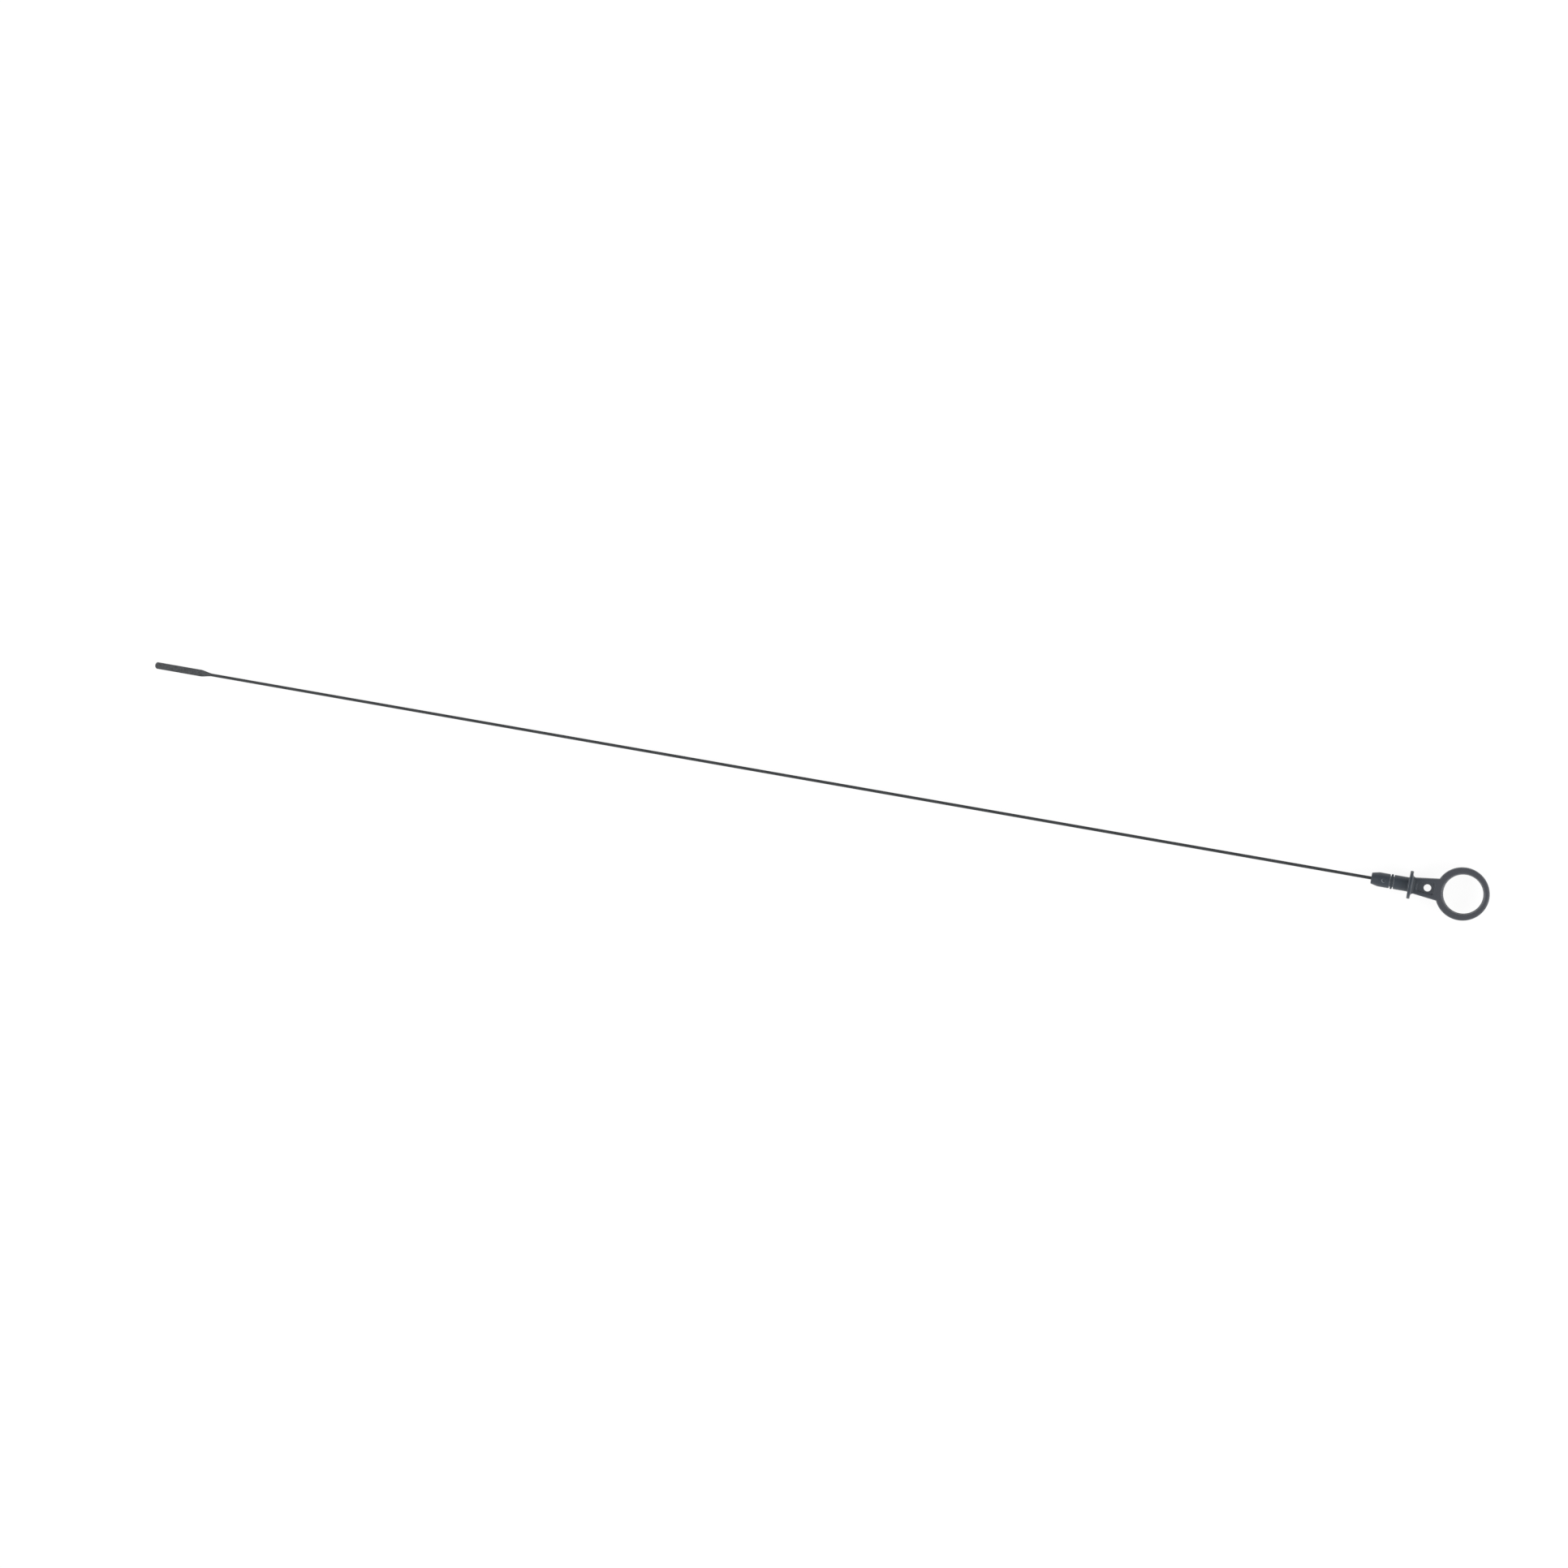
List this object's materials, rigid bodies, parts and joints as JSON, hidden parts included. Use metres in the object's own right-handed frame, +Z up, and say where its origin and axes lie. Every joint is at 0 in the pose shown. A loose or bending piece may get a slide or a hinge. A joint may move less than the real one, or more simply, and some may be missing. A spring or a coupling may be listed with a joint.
{
  "type": "engine oil dipstick",
  "caption": "Oil level dipstick: moulded handle with finger ring, seat flange and sealed tube plug on a long straight wire blade pressed flat at its gauge end.",
  "frame": {"origin": "centre of the flange's seat face, which closes on the mouth of the dipstick tube, on the plug's axis", "axes": "+X along the lying part towards the finger ring, the blade's tip towards -X; +Z up, across the faces of the finger ring; the plug's axis rises 0.548 degrees towards +X because the part lies on the flange's rim and on the wire behind the gauge end"},
  "size_m": [0.8257, 0.03, 0.016],
  "materials": {
    "handle": "fine moulded grain",
    "seal_ring": "plain moulded",
    "blade": "dark phosphate coat on drawn steel wire"
  },
  "bodies": {
    "root": {"handle": "handle", "seal_ring": "seal_ring", "blade": "blade"}
  },
  "joints": []
}
